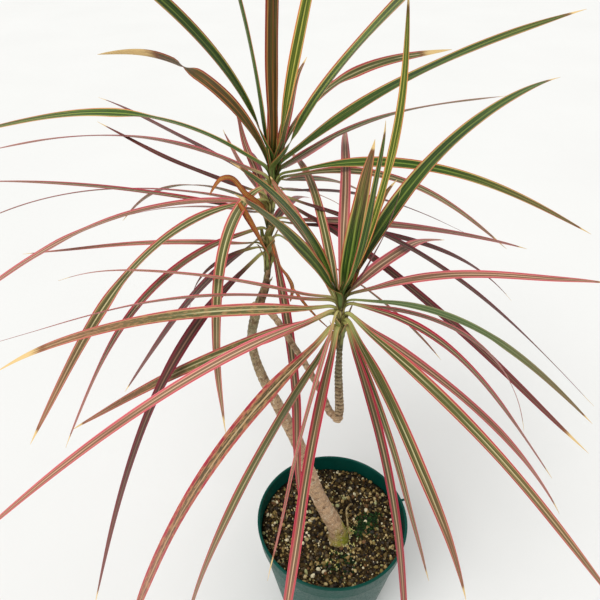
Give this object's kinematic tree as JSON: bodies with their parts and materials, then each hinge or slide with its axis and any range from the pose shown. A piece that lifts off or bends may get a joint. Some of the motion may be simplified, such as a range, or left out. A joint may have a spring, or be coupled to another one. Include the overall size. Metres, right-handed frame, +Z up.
{
  "type": "potted dracaena marginata",
  "caption": "House plant in a plain round nursery pot: a leaning bare cane that forks into two shoots of long, thin, arching striped leaves.",
  "frame": {"origin": "centre of the pot's flat underside", "axes": "+Z up along the pot's axis; the plant is seen from -Y with +X to the right"},
  "size_m": [0.6156, 0.463, 0.764],
  "materials": {
    "pot_plastic": "thin moulded dark blue-green plastic with a satin surface and fine scuffs",
    "potting_mix": null,
    "cane": "tan-beige bark, ringed with old leaf scars and grey-green towards the shoots",
    "leaf_green": null,
    "leaf_khaki": "mature leaf: khaki green with cream stripes and pink margins, softly glossy",
    "leaf_pink": "mature leaf: dusty pink with a khaki middle stripe, softly glossy",
    "leaf_crimson": "mature leaf: crimson margins on an olive and cream middle, softly glossy",
    "leaf_maroon": "old leaf: dull maroon and brown-green, going dry at the tip"
  },
  "bodies": {
    "root": {"nursery_pot": "pot_plastic", "potting_mix": "potting_mix", "cane": "cane", "tall_shoot_leaf_01": "leaf_maroon", "tall_shoot_leaf_02": "leaf_maroon", "tall_shoot_leaf_03": "leaf_crimson", "tall_shoot_leaf_04": "leaf_crimson", "tall_shoot_leaf_05": "leaf_maroon", "tall_shoot_leaf_06": "leaf_pink", "tall_shoot_leaf_07": "leaf_pink", "tall_shoot_leaf_08": "leaf_crimson", "tall_shoot_leaf_09": "leaf_khaki", "tall_shoot_leaf_10": "leaf_crimson", "tall_shoot_leaf_11": "leaf_pink", "tall_shoot_leaf_12": "leaf_khaki", "tall_shoot_leaf_13": "leaf_maroon", "tall_shoot_leaf_14": "leaf_maroon", "tall_shoot_leaf_15": "leaf_maroon", "tall_shoot_leaf_16": "leaf_khaki", "tall_shoot_leaf_17": "leaf_khaki", "tall_shoot_leaf_18": "leaf_maroon", "tall_shoot_leaf_19": "leaf_khaki", "tall_shoot_leaf_20": "leaf_khaki", "tall_shoot_leaf_21": "leaf_pink", "tall_shoot_leaf_22": "leaf_green", "tall_shoot_leaf_23": "leaf_pink", "tall_shoot_leaf_24": "leaf_khaki", "tall_shoot_leaf_25": "leaf_green", "tall_shoot_leaf_26": "leaf_green", "tall_shoot_leaf_27": "leaf_green", "tall_shoot_leaf_28": "leaf_green", "tall_shoot_leaf_29": "leaf_khaki", "tall_shoot_leaf_30": "leaf_green", "tall_shoot_leaf_31": "leaf_green", "tall_shoot_leaf_32": "leaf_green", "side_shoot_leaf_01": "leaf_crimson", "side_shoot_leaf_02": "leaf_pink", "side_shoot_leaf_03": "leaf_khaki", "side_shoot_leaf_04": "leaf_khaki", "side_shoot_leaf_05": "leaf_crimson", "side_shoot_leaf_06": "leaf_khaki", "side_shoot_leaf_07": "leaf_khaki", "side_shoot_leaf_08": "leaf_pink", "side_shoot_leaf_09": "leaf_khaki", "side_shoot_leaf_10": "leaf_crimson", "side_shoot_leaf_11": "leaf_khaki", "side_shoot_leaf_12": "leaf_khaki", "side_shoot_leaf_13": "leaf_pink", "side_shoot_leaf_14": "leaf_crimson", "side_shoot_leaf_15": "leaf_pink", "side_shoot_leaf_16": "leaf_green", "side_shoot_leaf_17": "leaf_pink", "side_shoot_leaf_18": "leaf_pink", "side_shoot_leaf_19": "leaf_khaki", "side_shoot_leaf_20": "leaf_pink", "side_shoot_leaf_21": "leaf_green", "side_shoot_leaf_22": "leaf_green", "side_shoot_leaf_23": "leaf_green", "side_shoot_leaf_24": "leaf_green", "side_shoot_leaf_25": "leaf_green"}
  },
  "joints": []
}
